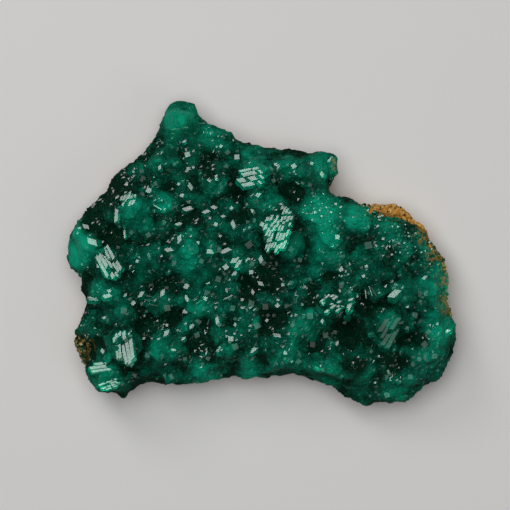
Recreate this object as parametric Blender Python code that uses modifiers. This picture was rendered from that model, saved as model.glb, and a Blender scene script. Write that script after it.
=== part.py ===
"""A hand specimen of dioptase: a crust of fused green crystals on a thin plate of rock.

The specimen lies on its rock back. +Z is up, out of the crystals, and +Y is the top of the plate
as it is shown. The origin is at the middle of the underside. Run it with
blender --background --python part.py, or from the text editor.
"""

import math
import random

import bmesh
import bpy
from mathutils import Matrix, Vector, noise
from mathutils.bvhtree import BVHTree

MM = 0.001

# Driving dimensions of the whole plate, in millimetres
ROCK_TOP = 6.4
CRUST_LOW = 3.6
CRUST_TOP = 10.2
SEAM = 0.3

# How far in from their rims the top and the underside slope, and by how much
CRUST_SLOPE = (5.5, 3.4, 1.6)
ROCK_SLOPE = (6.5, 0.0, 3.0)

# The crust's outline seen from above, in millimetres, clockwise from the foot of the tall horn
CRUST_OUTLINE = [
    (-18.3, 21.0), (-17.4, 24.4), (-16.5, 25.5), (-15.2, 26.4), (-13.8, 25.8), (-12.7, 25.4),
    (-11.9, 24.0), (-10.2, 22.5), (-8.4, 21.2), (-6.0, 20.8), (-4.0, 19.9), (-2.0, 19.1),
    (1.6, 18.6), (5.6, 18.5), (9.6, 17.9), (12.2, 17.5), (13.2, 16.6), (13.1, 14.2),
    (12.5, 11.6), (12.6, 10.0), (13.4, 9.1), (15.0, 9.5), (18.0, 9.6), (20.2, 8.4),
    (22.6, 7.3), (25.2, 6.0), (27.4, 4.7), (28.9, 2.9), (30.8, 1.0), (32.2, -1.2),
    (33.0, -3.6), (32.7, -6.4), (33.4, -10.0), (34.9, -13.2), (36.0, -15.4), (35.8, -17.6),
    (34.8, -19.6), (32.0, -23.0), (29.4, -25.1), (26.8, -27.4), (22.8, -27.1), (17.2, -26.2),
    (13.0, -24.5), (9.0, -22.5), (5.6, -22.1), (1.6, -22.1), (-1.8, -22.9), (-5.2, -22.9),
    (-7.6, -23.0), (-9.9, -23.9), (-12.6, -23.4), (-17.0, -23.6), (-21.4, -24.2), (-24.2, -25.8),
    (-27.6, -25.5), (-30.3, -24.3), (-31.3, -22.6), (-31.6, -20.2), (-32.2, -17.4),
    (-32.6, -14.2), (-31.9, -11.6), (-31.6, -8.6), (-32.6, -4.8), (-33.7, -3.4), (-34.5, -0.4),
    (-34.6, 2.8), (-33.9, 4.8), (-32.2, 6.5), (-29.8, 8.1), (-28.3, 11.2), (-27.2, 13.4),
    (-24.6, 14.8), (-21.4, 17.2),
]

# The rock is hidden under the crust, apart from the rim at the upper right and a corner at the left
ROCK_OUTLINE = [
    (-14.6, 22.0), (-8.0, 18.6), (2.0, 15.8), (10.2, 14.6), (11.6, 9.8), (15.8, 8.6),
    (19.0, 8.8), (21.8, 8.6), (24.3, 7.9), (26.8, 6.6), (28.9, 4.7), (29.6, 2.9),
    (31.3, 1.0), (32.5, -1.3), (33.5, -3.4), (33.2, -6.0), (33.9, -10.2), (34.4, -13.2),
    (33.0, -15.8), (30.0, -17.6), (25.0, -21.6), (19.0, -22.4), (11.0, -19.4), (2.0, -18.4),
    (-8.0, -19.6), (-17.0, -20.0), (-24.0, -21.8), (-30.0, -21.2), (-32.5, -18.9),
    (-32.7, -17.3), (-31.4, -14.2), (-29.2, -9.0), (-30.0, -2.0), (-31.4, 3.0), (-27.4, 6.0),
    (-25.6, 11.0), (-20.0, 14.6),
]

# Where the rock's rim rises past the crust: centre, reach and how far it rises, in millimetres
ROCK_RIMS = [
    ((26.6, 7.2), 3.0, 0.3),
    ((32.0, 0.2), 4.2, 1.0),
    ((33.6, -7.0), 3.6, 0.9),
    ((-33.0, -18.2), 2.6, 2.6),
]

# The crust's knobs: centre, radius and rise over the plate, in millimetres
KNOBS = [
    ((-14.8, 23.0), 3.0, 2.6), ((-9.6, 19.4), 2.6, 1.6), ((-15.5, 15.8), 3.7, 2.6),
    ((-22.8, 8.0), 4.2, 3.4), ((-17.5, 9.2), 2.8, 2.2), ((-8.3, 12.6), 4.3, 3.4),
    ((-0.4, 12.6), 3.8, 4.2), ((8.6, 14.0), 4.2, 3.0), ((2.4, 6.2), 4.7, 4.8),
    ((5.4, 0.9), 3.0, 3.6), ((11.4, 6.4), 4.2, 2.2), ((17.2, 5.6), 3.7, 2.8),
    ((-31.3, 0.6), 2.9, 2.0), ((-27.2, -1.8), 3.7, 4.0), ((-28.0, -7.8), 3.2, 2.4),
    ((-19.4, -1.6), 4.0, 3.2), ((-12.6, -0.6), 4.6, 3.3), ((-3.6, 2.6), 3.4, 2.0),
    ((12.2, -1.4), 3.9, 2.4), ((24.4, 0.6), 4.8, 2.0), ((20.0, -4.0), 4.2, 3.1),
    ((13.8, -9.4), 4.2, 3.9), ((26.0, -7.0), 3.6, 3.2), ((30.6, -6.8), 3.0, 1.6),
    ((6.6, -13.6), 4.2, 3.1), ((4.4, -18.4), 3.6, 2.4), ((-4.4, -16.4), 4.1, 2.7),
    ((-8.6, -9.8), 4.5, 3.1), ((-16.2, -17.2), 4.2, 3.0), ((-16.4, -9.6), 3.4, 2.2),
    ((-25.0, -16.8), 4.2, 4.4), ((-27.4, -22.2), 3.4, 2.6), ((-24.8, -11.0), 3.6, 2.4),
    ((22.8, -13.0), 4.4, 4.0), ((32.0, -16.4), 3.3, 1.8), ((17.4, -20.4), 4.4, 2.8),
    ((25.6, -22.8), 3.6, 2.0), ((28.0, -18.6), 3.2, 2.6), ((0.6, -5.6), 3.2, 2.0),
    ((20.2, 6.6), 2.4, 1.2), ((23.6, 5.0), 2.2, 1.2), ((26.6, 3.2), 2.2, 1.2),
]

# The hollows between them: centre, reach and depth, in millimetres
HOLLOWS = [
    ((-27.2, 11.7), 3.4, 1.4), ((-29.5, 5.2), 3.0, 1.3), ((-26.6, 2.7), 2.8, 1.3),
    ((-8.6, 15.3), 3.0, 1.4), ((-13.3, 6.3), 3.0, 1.3), ((5.8, 10.6), 3.2, 1.5),
    ((1.1, -4.5), 3.6, 2.2), ((-2.0, -6.3), 3.4, 2.2), ((2.2, -12.2), 3.6, 2.2),
    ((-15.8, -5.6), 3.0, 1.5), ((-15.1, -11.7), 3.0, 1.5), ((-20.0, -12.2), 3.0, 1.5),
    ((15.5, -14.0), 3.6, 2.2), ((16.0, -20.7), 3.2, 1.4), ((25.0, -20.7), 3.2, 1.5),
    ((28.1, -15.3), 3.0, 1.4), ((19.6, -9.9), 3.4, 1.6), ((-31.3, -16.4), 2.8, 1.2),
    ((11.5, -2.9), 3.0, 1.4), ((-21.0, 13.0), 3.0, 1.2), ((29.0, -2.0), 3.0, 1.1),
]

# Crystals: six-sided prisms with a three-faced tip, whose faces stand this far from the axis
TIP_SLOPE = math.tan(math.radians(51))
CRYSTAL_SPACING = 4.2
CRYSTAL_RADIUS = (1.2, 2.3)
CRYSTAL_RISE = (0.5, 1.9)
CRYSTAL_LEAN = 0.55
RIM_KEEP_OUT = 2.0

# Groups that grew in step: middle, length of the row, the way it runs, and the lean across it
GROUPS = [
    ((-27.2, -1.8), 4.4, -57, 30), ((-2.0, 13.3), 4.6, 8, 34), ((2.7, 5.8), 6.4, 74, 28),
    ((-24.7, -16.7), 5.0, 112, 32), ((-25.2, 7.4), 4.6, 92, 30), ((13.0, -9.5), 6.0, 24, 30),
    ((23.0, -13.8), 5.2, 62, 34), ((17.8, -5.2), 4.4, 48, 30), ((-8.2, 7.2), 3.6, 20, 30),
]
GROUP_STEP = 1.35
GROUP_RADIUS = 1.25

ROCK_FACES = 1000
BODY_FACES = 2100

GREEN = (0.004, 0.16, 0.085, 1.0)
OCHRE = (0.42, 0.27, 0.11, 1.0)


def clear_scene():
    for obj in list(bpy.data.objects):
        bpy.data.objects.remove(obj, do_unlink=True)


def new_collection(name):
    made = bpy.data.collections.new(name)
    bpy.context.scene.collection.children.link(made)
    return made


def new_material(name, colour, roughness):
    material = bpy.data.materials.new(name)
    material.use_nodes = True
    shader = material.node_tree.nodes["Principled BSDF"]
    shader.inputs["Base Color"].default_value = colour
    shader.inputs["Roughness"].default_value = roughness
    shader.inputs["Metallic"].default_value = 0.0
    return material


def evaluated_mesh(obj):
    """A new mesh of obj as its modifiers leave it."""
    graph = bpy.context.evaluated_depsgraph_get()
    return bpy.data.meshes.new_from_object(obj.evaluated_get(graph))


def applied(obj):
    """Replaces obj's mesh by what its modifiers make of it."""
    mesh = evaluated_mesh(obj)
    obj.modifiers.clear()
    obj.data = mesh
    return obj


def outline_slab(name, outline, low, high, collection):
    """A flat slab cut to an outline, between two heights, all in millimetres."""
    curve = bpy.data.curves.new(name, "CURVE")
    curve.dimensions = "2D"
    curve.fill_mode = "BOTH"
    curve.extrude = (high - low) / 2 * MM
    spline = curve.splines.new("POLY")
    spline.points.add(len(outline) - 1)
    for point, (x, y) in zip(spline.points, outline):
        point.co = (x * MM, y * MM, 0, 1)
    spline.use_cyclic_u = True
    guide = bpy.data.objects.new(name, curve)
    guide.location.z = (high + low) / 2 * MM
    collection.objects.link(guide)
    bpy.context.view_layer.update()
    mesh = evaluated_mesh(guide)
    mesh.transform(guide.matrix_world)
    bpy.data.objects.remove(guide)
    bm = bmesh.new()
    bm.from_mesh(mesh)
    bmesh.ops.remove_doubles(bm, verts=bm.verts, dist=0.01 * MM)
    bmesh.ops.recalc_face_normals(bm, faces=bm.faces)
    bm.to_mesh(mesh)
    bm.free()
    slab = bpy.data.objects.new(name, mesh)
    collection.objects.link(slab)
    return slab


def voxel_skin(obj, voxel, smooth_steps):
    """Makes one even skin of a mesh, however its shapes overlap, and rounds it."""
    remesh = obj.modifiers.new("skin", "REMESH")
    remesh.mode = "VOXEL"
    remesh.voxel_size = voxel * MM
    smooth = obj.modifiers.new("rounding", "SMOOTH")
    smooth.factor = 0.5
    smooth.iterations = smooth_steps
    return applied(obj)


def thinned(obj, faces):
    """Brings a mesh down to about this many triangles, as flat broken facets."""
    obj.data.calc_loop_triangles()
    decimate = obj.modifiers.new("facets", "DECIMATE")
    decimate.ratio = faces / len(obj.data.loop_triangles)
    decimate.use_collapse_triangulate = True
    return applied(obj)


def roughen(obj, amounts, seed):
    """Moves each vertex by broken noise. amounts lists (wavelength, depth) in millimetres, and
    what lies along the sides is stretched upright, as the broken edge of columnar crystals is."""
    offset = Vector((seed * 13.7, seed * 5.1, seed * 9.3))
    normals = [vertex.normal.copy() for vertex in obj.data.vertices]
    for vertex, normal in zip(obj.data.vertices, normals):
        sideways = 1 - abs(normal.z)
        for wavelength, depth in amounts:
            at = vertex.co / (wavelength * MM)
            at.z *= 1 - 0.75 * sideways
            vertex.co += normal * noise.noise(at + offset) * depth * MM


def nearness(x, y, centre, reach):
    """1 at the centre and 0 from reach outwards, smoothly, all in millimetres."""
    away = min(1.0, math.hypot(x - centre[0], y - centre[1]) / reach)
    return (1 - away * away) ** 2


def slope_to_rim(obj, outline, low, high, slope):
    """Lowers the top and lifts the underside towards the rim, as along a broken edge."""
    reach, drop, lift = slope
    for vertex in obj.data.vertices:
        x, y, z = vertex.co / MM
        share = (1 - min(1.0, edge_distance(x, y, outline) / reach)) ** 2
        upper = max(0.0, min(1.0, (z - low) / (high - low)))
        vertex.co.z += share * ((1 - upper) * lift - upper * drop) * MM


def keep_main_body(obj):
    """Drops the crumbs that a cut left loose, and keeps the piece with the most vertices."""
    bm = bmesh.new()
    bm.from_mesh(obj.data)
    left = set(bm.verts)
    bodies = []
    while left:
        body = set()
        reached = [left.pop()]
        while reached:
            vertex = reached.pop()
            body.add(vertex)
            nearby = {edge.other_vert(vertex) for edge in vertex.link_edges} & left
            left -= nearby
            reached.extend(nearby)
        bodies.append(body)
    main_body = max(bodies, key=len)
    crumbs = [vertex for vertex in bm.verts if vertex not in main_body]
    bmesh.ops.delete(bm, geom=crumbs, context="VERTS")
    bm.to_mesh(obj.data)
    bm.free()


def make_rock(collection, material):
    """The matrix: a rough slab of iron-stained rock, with a level patch that it stands on."""
    rock = outline_slab("matrix", ROCK_OUTLINE, -0.9, ROCK_TOP, collection)
    voxel_skin(rock, 0.8, 3)
    slope_to_rim(rock, ROCK_OUTLINE, -0.9, ROCK_TOP, ROCK_SLOPE)
    for vertex in rock.data.vertices:
        x, y, z = vertex.co / MM
        upper = max(0.0, 2 * z / ROCK_TOP - 1)
        rise = max(nearness(x, y, centre, reach) * height for centre, reach, height in ROCK_RIMS)
        vertex.co.z += rise * upper * MM
    roughen(rock, [(9.0, 1.4), (3.4, 0.9), (1.5, 0.4)], seed=3)
    thinned(rock, ROCK_FACES)
    cut_level(rock, 0.0)
    keep_main_body(rock)
    rock.data.materials.append(material)
    return rock


def cut_level(obj, height):
    """Cuts off what lies below a height, and closes the cut with a flat face."""
    bm = bmesh.new()
    bm.from_mesh(obj.data)
    cut = bmesh.ops.bisect_plane(
        bm,
        geom=bm.verts[:] + bm.edges[:] + bm.faces[:],
        plane_co=(0, 0, height * MM),
        plane_no=(0, 0, -1),
        clear_outer=True,
    )
    rim = [part for part in cut["geom_cut"] if isinstance(part, bmesh.types.BMEdge)]
    bmesh.ops.holes_fill(bm, edges=rim)
    bmesh.ops.triangulate(bm, faces=bm.faces)
    bmesh.ops.recalc_face_normals(bm, faces=bm.faces)
    bm.to_mesh(obj.data)
    bm.free()


def add_knobs(slab):
    """Joins a flattened ball to the slab for each knob, to be skinned over with it."""
    bm = bmesh.new()
    bm.from_mesh(slab.data)
    buried = 2.6
    for (x, y), radius, rise in KNOBS:
        place = Matrix.Translation(Vector((x, y, CRUST_TOP - buried)) * MM)
        size = Matrix.Diagonal(Vector((radius, radius, rise + buried, 1))) @ Matrix.Scale(MM, 4)
        bmesh.ops.create_icosphere(bm, subdivisions=3, radius=1.0, matrix=place @ size)
    bm.to_mesh(slab.data)
    bm.free()


def swollen_copy(obj, by, collection):
    """A cutter: obj's shape with its skin moved outwards, in millimetres."""
    cutter = bpy.data.objects.new(obj.name + "_cutter", obj.data.copy())
    collection.objects.link(cutter)
    for vertex in cutter.data.vertices:
        vertex.co = vertex.co + vertex.normal * by * MM
    cutter.hide_render = True
    cutter.display_type = "WIRE"
    return cutter


def make_crust_body(collection):
    """The crust without its crystals: a knobbly slab."""
    body = outline_slab("dioptase_crust", CRUST_OUTLINE, CRUST_LOW, CRUST_TOP, collection)
    add_knobs(body)
    voxel_skin(body, 0.5, 2)
    slope_to_rim(body, CRUST_OUTLINE, CRUST_LOW, CRUST_TOP, CRUST_SLOPE)
    for vertex in body.data.vertices:
        x, y, z = vertex.co / MM
        upper = max(0.0, min(1.0, (z - CRUST_LOW) / (CRUST_TOP - CRUST_LOW)))
        fall = max(nearness(x, y, centre, reach) * depth for centre, reach, depth in HOLLOWS)
        vertex.co.z -= fall * upper * MM
    roughen(body, [(7.0, 1.6), (3.0, 1.1), (1.4, 0.4)], seed=8)
    return thinned(body, BODY_FACES)


def crystal_mesh(radius, length):
    """One crystal along +Z with its tip at the origin: a six-sided prism whose tip has three
    rhombs, each over one of the prism's edges."""
    bm = bmesh.new()
    bmesh.ops.create_cone(
        bm, cap_ends=True, segments=6, radius1=radius, radius2=radius, depth=length
    )
    bmesh.ops.translate(bm, verts=bm.verts, vec=(0, 0, -length / 2))
    top = max(bm.faces, key=lambda face: face.calc_center_median().z)
    ring = sorted(top.verts, key=lambda vertex: math.atan2(vertex.co.y, vertex.co.x))
    bmesh.ops.poke(bm, faces=[top])
    for number, vertex in enumerate(ring):
        share = 1.0 if number % 2 == 0 else 0.5
        vertex.co.z -= share * radius * TIP_SLOPE
    bmesh.ops.dissolve_limit(
        bm, angle_limit=math.radians(0.5), verts=bm.verts, edges=bm.edges
    )
    mesh = bpy.data.meshes.new("crystal")
    bm.to_mesh(mesh)
    bm.free()
    return mesh


def inside(x, y, outline):
    """Whether a point lies inside an outline."""
    found = False
    for (ax, ay), (bx, by) in zip(outline, outline[1:] + outline[:1]):
        if (ay > y) != (by > y) and x < ax + (y - ay) / (by - ay) * (bx - ax):
            found = not found
    return found


def edge_distance(x, y, outline):
    """How far a point is from an outline's nearest side."""
    nearest = float("inf")
    for (ax, ay), (bx, by) in zip(outline, outline[1:] + outline[:1]):
        dx, dy = bx - ax, by - ay
        share = ((x - ax) * dx + (y - ay) * dy) / (dx * dx + dy * dy)
        share = max(0.0, min(1.0, share))
        nearest = min(nearest, math.hypot(x - ax - share * dx, y - ay - share * dy))
    return nearest


def crystal_places(chance):
    """Evenly scattered places on the plate: a jittered triangular grid, in millimetres."""
    row_step = CRYSTAL_SPACING * math.sqrt(3) / 2
    reach = 38
    for row in range(-int(reach / row_step), int(reach / row_step) + 1):
        for column in range(-int(reach / CRYSTAL_SPACING), int(reach / CRYSTAL_SPACING) + 1):
            x = (column + 0.5 * (row % 2)) * CRYSTAL_SPACING + chance.uniform(-0.9, 0.9)
            y = row * row_step + chance.uniform(-0.9, 0.9)
            if inside(x, y, CRUST_OUTLINE) and edge_distance(x, y, CRUST_OUTLINE) > RIM_KEEP_OUT:
                yield x, y


def add_crystal(collection, tip, axis, spin, radius, length):
    """Adds a crystal with its tip at a point, along an axis and turned about it."""
    name = f"crystal_{len(collection.objects)}"
    crystal = bpy.data.objects.new(name, crystal_mesh(radius * MM, length * MM))
    turn = axis.to_track_quat("Z", "Y").to_matrix().to_4x4()
    crystal.matrix_world = Matrix.Translation(tip) @ turn @ Matrix.Rotation(spin, 4, "Z")
    crystal.hide_render = True
    crystal.display_type = "WIRE"
    collection.objects.link(crystal)


def grow_crystals(body, collection):
    """Stands a crystal at each place on the body's upper side, leaning as the skin there does."""
    graph = bpy.context.evaluated_depsgraph_get()
    skin = BVHTree.FromObject(body, graph)
    down = Vector((0, 0, -1))
    chance = random.Random(21)
    for x, y in crystal_places(chance):
        if any(math.hypot(x - gx, y - gy) < 0.45 * size for (gx, gy), size, _, _ in GROUPS):
            continue
        place, normal, _, _ = skin.ray_cast(Vector((x, y, 40)) * MM, down)
        radius = chance.uniform(*CRYSTAL_RADIUS)
        rise = chance.uniform(*CRYSTAL_RISE)
        lean = Vector((chance.gauss(0, 1), chance.gauss(0, 1), 0)) * CRYSTAL_LEAN
        axis = (normal + Vector((0, 0, 0.5)) + lean).normalized()
        length = rise + radius * TIP_SLOPE + 1.2
        tip = place + axis * rise * MM
        add_crystal(collection, tip, axis, chance.uniform(0, math.tau), radius, length)
    for (x, y), size, heading, lean in GROUPS:
        along = Vector((math.cos(math.radians(heading)), math.sin(math.radians(heading)), 0))
        across = Vector((-along.y, along.x, 0))
        axis = Matrix.Rotation(math.radians(lean), 3, along) @ Vector((0, 0, 1))
        steps = round(size / GROUP_STEP)
        for step in range(steps):
            shift = along * (step - (steps - 1) / 2) * GROUP_STEP
            shift += across * chance.uniform(-0.9, 0.9)
            place, _, _, _ = skin.ray_cast((Vector((x, y, 40)) + shift) * MM, down)
            rise = chance.uniform(0.8, 1.7)
            radius = GROUP_RADIUS * chance.uniform(0.8, 1.25)
            length = rise + radius * TIP_SLOPE + 1.6
            spin = math.radians(30)
            add_crystal(collection, place + axis * rise * MM, axis, spin, radius, length)


def make_crust(rock, collection, cutters, crystals, material):
    """The crust with its crystals fused to it, as they grew, and its seat on the rock."""
    crust = make_crust_body(collection)
    grow_crystals(crust, crystals)
    bpy.context.view_layer.update()
    fuse = crust.modifiers.new("fused_crystals", "BOOLEAN")
    fuse.operation = "UNION"
    fuse.solver = "MANIFOLD"
    fuse.operand_type = "COLLECTION"
    fuse.collection = crystals
    seat = crust.modifiers.new("seat_on_rock", "BOOLEAN")
    seat.operation = "DIFFERENCE"
    seat.solver = "MANIFOLD"
    seat.object = swollen_copy(rock, SEAM * 1.4, cutters)
    applied(crust)
    keep_main_body(crust)
    crust.data.materials.clear()
    crust.data.materials.append(material)
    return crust


def centre_on_origin(parts):
    """Moves the parts so that the origin is under the middle of the whole specimen."""
    corners = [vertex.co for part in parts for vertex in part.data.vertices]
    low = Vector([min(corner[axis] for corner in corners) for axis in range(3)])
    high = Vector([max(corner[axis] for corner in corners) for axis in range(3)])
    shift = Vector((-(low.x + high.x) / 2, -(low.y + high.y) / 2, -low.z))
    for part in parts:
        part.data.transform(Matrix.Translation(shift))


def main():
    clear_scene()
    specimen = new_collection("dioptase_specimen")
    cutters = new_collection("cutters")
    crystals = new_collection("crystals")
    rock = make_rock(specimen, new_material("iron_stained_rock", OCHRE, 0.9))
    green = new_material("dioptase", GREEN, 0.12)
    crust = make_crust(rock, specimen, cutters, crystals, green)
    centre_on_origin([rock, crust])


main()
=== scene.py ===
"""The dioptase specimen: a crust of fused green crystals on a plate of iron-stained rock."""

import math
import random

import bmesh
import bpy
import numpy as np
from mathutils import Matrix, Vector, noise
from mathutils.bvhtree import BVHTree
from mathutils.kdtree import KDTree


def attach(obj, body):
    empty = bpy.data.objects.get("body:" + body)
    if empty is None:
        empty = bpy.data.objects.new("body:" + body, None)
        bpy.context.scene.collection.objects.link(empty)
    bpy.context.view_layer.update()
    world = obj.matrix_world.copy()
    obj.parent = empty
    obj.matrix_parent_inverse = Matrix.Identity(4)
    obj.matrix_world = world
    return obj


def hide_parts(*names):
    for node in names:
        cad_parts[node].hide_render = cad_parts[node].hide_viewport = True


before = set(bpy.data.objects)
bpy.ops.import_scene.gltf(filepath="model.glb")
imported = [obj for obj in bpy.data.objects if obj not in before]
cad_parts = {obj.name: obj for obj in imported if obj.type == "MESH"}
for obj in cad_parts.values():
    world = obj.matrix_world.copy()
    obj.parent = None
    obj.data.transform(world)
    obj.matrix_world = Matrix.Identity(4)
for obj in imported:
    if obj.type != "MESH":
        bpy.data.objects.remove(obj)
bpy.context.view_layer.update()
MM = 0.001

# The rock: the plate on which the crystals grew, granular and stained by iron, broken at its rim
# and rubbed level underneath. It shows as an ochre strip at the upper right and in patches on the
# other rims. It is the solid's mesh, made finer, with its lumps and grains raised.
ROCK_REFINEMENT = 3
# The size and the height of each kind of lump, in millimetres
ROCK_LUMPS = [(1.6, 0.35), (0.6, 0.28), (0.34, 0.16)]
ROCK_SWELL = 0.22
UNDERSIDE = 0.05
LEAST_HEIGHT = 0.02
# Where its rim stands further in than the solid's: a middle, a reach and a shift
WORN = [
    ((20.6, 9.8), 3.4, (0.1, -0.9)),
    ((-34.4, -17.8), 2.8, (0.9, 0.1)),
]
FULLY_WORN_FROM = 2
# Where green grains are mixed with the brown ones: a middle and a reach
OLIVE = [((31.5, -0.5), 4.4), ((33.4, -8.0), 5.0), ((-33.5, -18.0), 5.0)]
GRAIN_SCALE = 2900
GRAIN_TONES = [
    (0.0, (0.07, 0.028, 0.010, 1)),
    (0.14, (0.40, 0.19, 0.035, 1)),
    (0.32, (0.70, 0.36, 0.07, 1)),
    (0.58, (0.86, 0.52, 0.13, 1)),
    (0.78, (0.90, 0.70, 0.32, 1)),
    (0.88, (0.14, 0.20, 0.06, 1)),
    (0.97, (0.20, 0.04, 0.025, 1)),
]
RUST = (0.50, 0.34, 0.22, 1)
OLIVE_GREEN = (0.13, 0.22, 0.07, 1)


def copy_of_node(node, name):
    """A copy of a solid's mesh with its loose triangles joined up, as a new piece."""
    mesh = bpy.data.objects[node].data.copy()
    bm = bmesh.new()
    bm.from_mesh(mesh)
    bmesh.ops.remove_doubles(bm, verts=bm.verts, dist=0.0002 * MM)
    bm.to_mesh(mesh)
    bm.free()
    mesh.materials.clear()
    piece = bpy.data.objects.new(name, mesh)
    bpy.context.scene.collection.objects.link(piece)
    return piece


def apply_all(piece):
    """Applies a piece's modifiers, with this piece alone selected."""
    bpy.ops.object.select_all(action="DESELECT")
    piece.select_set(True)
    bpy.context.view_layer.objects.active = piece
    for modifier in list(piece.modifiers):
        bpy.ops.object.modifier_apply(modifier=modifier.name)


def lumps(place, kinds):
    """How far a skin stands out at a place, from the size and the height of its lumps."""
    return sum(noise.noise(place / (size * MM)) * height for size, height in kinds)


def places_of(mesh):
    """The mesh's points, in millimetres."""
    places = np.empty(len(mesh.vertices) * 3, np.float32)
    mesh.vertices.foreach_get("co", places)
    return places.reshape(-1, 3) / MM


def mark(mesh, name, domain, values):
    """Adds a number to each point or face of a mesh, for its material to read."""
    attribute = mesh.attributes.new(name, "FLOAT", domain)
    attribute.data.foreach_set("value", values.astype(np.float32))


def mark_patches(mesh, name, patches, gain):
    """Marks patches, which are full in their middle and end at their reach."""
    places = places_of(mesh)
    shares = np.zeros(len(places))
    for (x, y), reach in patches:
        away = np.hypot(places[:, 0] - x, places[:, 1] - y) / reach
        shares = np.maximum(shares, np.clip(gain * (1 - away), 0, 1))
    mark(mesh, name, "POINT", shares)


def fill_sockets(tree, node, sockets):
    """Links each of a node's sockets to an output, or sets it to a number or a colour."""
    for name, value in sockets.items():
        if isinstance(value, bpy.types.NodeSocket):
            tree.links.new(value, node.inputs[name])
        else:
            node.inputs[name].default_value = value


def add_node(tree, kind, sockets, **settings):
    """Adds a shader node with its settings and sockets."""
    node = tree.nodes.new("ShaderNode" + kind)
    for name, value in settings.items():
        setattr(node, name, value)
    fill_sockets(tree, node, sockets)
    return node


def add_noise(tree, coordinates, scale, detail):
    sockets = {"Vector": coordinates, "Scale": scale, "Detail": detail}
    return add_node(tree, "TexNoise", sockets).outputs["Fac"]


def add_range(tree, value, low, high, to_low=0.0, to_high=1.0):
    """Stretches the range from low to high to another one, and cuts off what is past it."""
    sockets = {"Value": value, "From Min": low, "From Max": high}
    sockets |= {"To Min": to_low, "To Max": to_high}
    return add_node(tree, "MapRange", sockets).outputs["Result"]


def add_math(tree, operation, *values, clamp=False):
    node = add_node(tree, "Math", dict(enumerate(values)), operation=operation, use_clamp=clamp)
    return node.outputs["Value"]


def add_mix(tree, share, first, second, blend="MIX"):
    sockets = {"Factor": share, "A": first, "B": second}
    return add_node(tree, "Mix", sockets, data_type="RGBA", blend_type=blend).outputs["Result"]


def add_ramp(tree, value, stops, interpolation):
    """A colour for each value, from stops that have a position and a colour."""
    node = add_node(tree, "ValToRGB", {"Fac": value})
    node.color_ramp.interpolation = interpolation
    elements = node.color_ramp.elements
    for element, (position, colour) in zip(elements, (stops[0], stops[-1])):
        element.position = position
        element.color = colour
    for position, colour in stops[1:-1]:
        elements.new(position).color = colour
    return node.outputs["Color"]


def add_attribute(tree, name):
    return add_node(tree, "Attribute", {}, attribute_name=name).outputs["Fac"]


def new_material(name):
    """A new material, its node tree, and the coordinates of the piece that has it."""
    material = bpy.data.materials.new(name)
    material.use_nodes = True
    coordinates = add_node(material.node_tree, "TexCoord", {}).outputs["Object"]
    return material, material.node_tree, coordinates


def finish_piece(piece, material, slot, *nodes):
    """Gives a piece its material, puts it on the root body, and hides the solids it stands for."""
    piece.data.materials.clear()
    piece.data.materials.append(material)
    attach(piece, "root")
    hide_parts(*nodes)


rock = copy_of_node("matrix", "rock")
rock_refine = rock.modifiers.new("finer", "SUBSURF")
rock_refine.subdivision_type = "SIMPLE"
rock_refine.levels = ROCK_REFINEMENT
rock_refine.render_levels = ROCK_REFINEMENT
apply_all(rock)
rock_normals = [vertex.normal.copy() for vertex in rock.data.vertices]
for vertex, normal in zip(rock.data.vertices, rock_normals):
    if vertex.co.z < UNDERSIDE * MM:
        continue
    lump = lumps(vertex.co, ROCK_LUMPS)
    for (x, y), reach, shift in WORN:
        away = math.hypot(vertex.co.x / MM - x, vertex.co.y / MM - y)
        share = max(0.0, 1 - (away / reach) ** 2) * min(vertex.co.z / MM / FULLY_WORN_FROM, 1.0)
        vertex.co += Vector((*shift, 0)) * share * MM
    vertex.co += normal * (ROCK_SWELL * abs(normal.z) + lump) * MM
    vertex.co.z = max(vertex.co.z, LEAST_HEIGHT * MM)
mark_patches(rock.data, "olive", OLIVE, gain=1.5)

# Spots of another colour, which both the rock and the crust have: as many as the share says
STAIN_SOCKETS = [
    ("Coordinates", "NodeSocketVector"),
    ("Colour", "NodeSocketColor"),
    ("Stain", "NodeSocketColor"),
    ("Share", "NodeSocketFloat"),
    ("Spot Scale", "NodeSocketFloat"),
    ("Spot Detail", "NodeSocketFloat"),
    ("None Under", "NodeSocketFloat"),
    ("Full Over", "NodeSocketFloat"),
    ("Strength", "NodeSocketFloat"),
]
spotted_stain = bpy.data.node_groups.new("spotted_stain", "ShaderNodeTree")
for name, kind in STAIN_SOCKETS:
    spotted_stain.interface.new_socket(name, in_out="INPUT", socket_type=kind)
spotted_stain.interface.new_socket("Colour", in_out="OUTPUT", socket_type="NodeSocketColor")
given = spotted_stain.nodes.new("NodeGroupInput").outputs
spots = add_noise(spotted_stain, given["Coordinates"], given["Spot Scale"], given["Spot Detail"])
spots = add_range(
    spotted_stain, spots, given["None Under"], given["Full Over"], 0.0, given["Strength"]
)
spot_share = add_math(spotted_stain, "MULTIPLY", given["Share"], spots)
spotted = add_mix(spotted_stain, spot_share, given["Colour"], given["Stain"])
fill_sockets(spotted_stain, spotted_stain.nodes.new("NodeGroupOutput"), {"Colour": spotted})

rock_material, tree, coordinates = new_material("iron_stained_rock")
grains = add_node(tree, "TexVoronoi", {"Vector": coordinates, "Scale": GRAIN_SCALE}).outputs
grain_colour = add_ramp(tree, grains["Color"], GRAIN_TONES, "CONSTANT")
rust_clouds = add_noise(tree, coordinates, scale=160, detail=4)
rust_share = add_range(tree, rust_clouds, low=0.40, high=0.65)
rusty = add_mix(tree, rust_share, grain_colour, RUST, "MULTIPLY")
mossy = add_node(
    tree,
    "Group",
    {
        "Coordinates": coordinates,
        "Colour": rusty,
        "Stain": OLIVE_GREEN,
        "Share": add_attribute(tree, "olive"),
        "Spot Scale": 1500,
        "Spot Detail": 2,
        "None Under": 0.38,
        "Full Over": 0.56,
        "Strength": 1.0,
    },
    node_tree=spotted_stain,
)
grit = add_node(
    tree, "Bump", {"Strength": 0.6, "Distance": 0.3 * MM, "Height": grains["Distance"]}
)
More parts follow.
